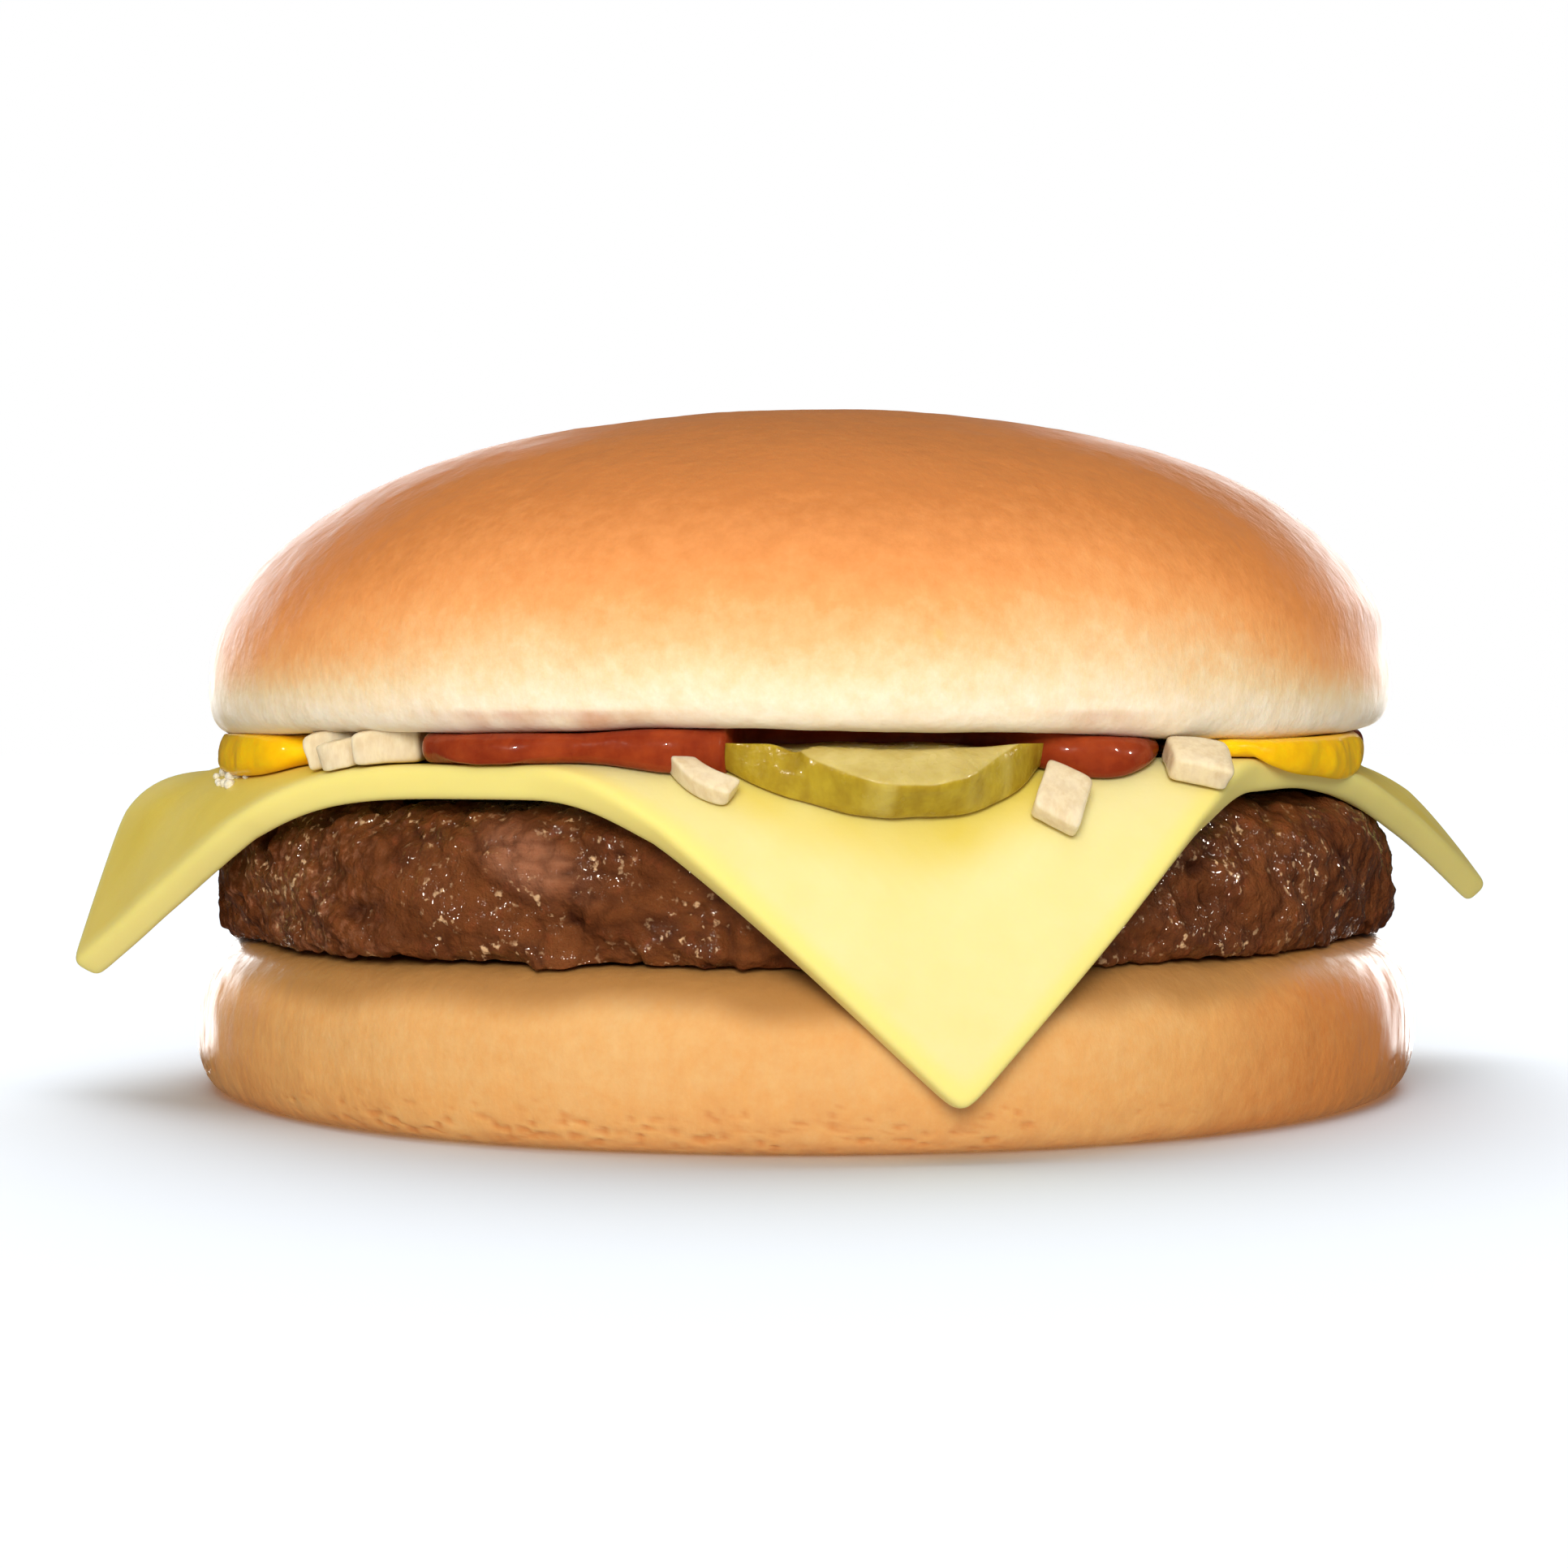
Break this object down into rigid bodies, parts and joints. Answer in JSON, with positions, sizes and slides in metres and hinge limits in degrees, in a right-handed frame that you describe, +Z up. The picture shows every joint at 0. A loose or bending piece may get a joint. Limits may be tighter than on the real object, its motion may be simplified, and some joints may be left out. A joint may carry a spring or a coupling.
{
  "type": "cheeseburger",
  "caption": "Cheeseburger: domed bun crown, flat heel, thick beef patty, draped square slice of cheese, pickle, diced onion, ketchup and mustard.",
  "frame": {"origin": "centre of the heel's flat base, on the surface the burger stands on", "axes": "+Z up through the stack, front towards -Y, +X to the right, along the widest corner-to-corner line of the cheese"},
  "size_m": [0.1124, 0.1033, 0.0523],
  "materials": {
    "bun": "soft baked bread, browned and faintly glossy outside, pale and matt at the cut",
    "beef": "grilled ground beef, rough and greasy",
    "cheese": "smooth softened processed cheese, satin",
    "ketchup": "wet and glossy",
    "mustard": "wet and glossy",
    "pickle": "wet gherkin, olive skin and pale flesh",
    "onion": "moist, translucent white"
  },
  "bodies": {
    "root": {"bun_heel": "bun", "beef_patty": "beef", "cheese_slice": "cheese", "ketchup": "ketchup", "mustard_left": "mustard", "mustard_right": "mustard", "pickle_slice": "pickle", "onion_left_1": "onion", "onion_left_2": "onion", "onion_front": "onion", "onion_right_1": "onion", "onion_right_2": "onion", "onion_back_1": "onion", "onion_back_2": "onion", "onion_back_3": "onion", "bun_crown": "bun"}
  },
  "joints": []
}
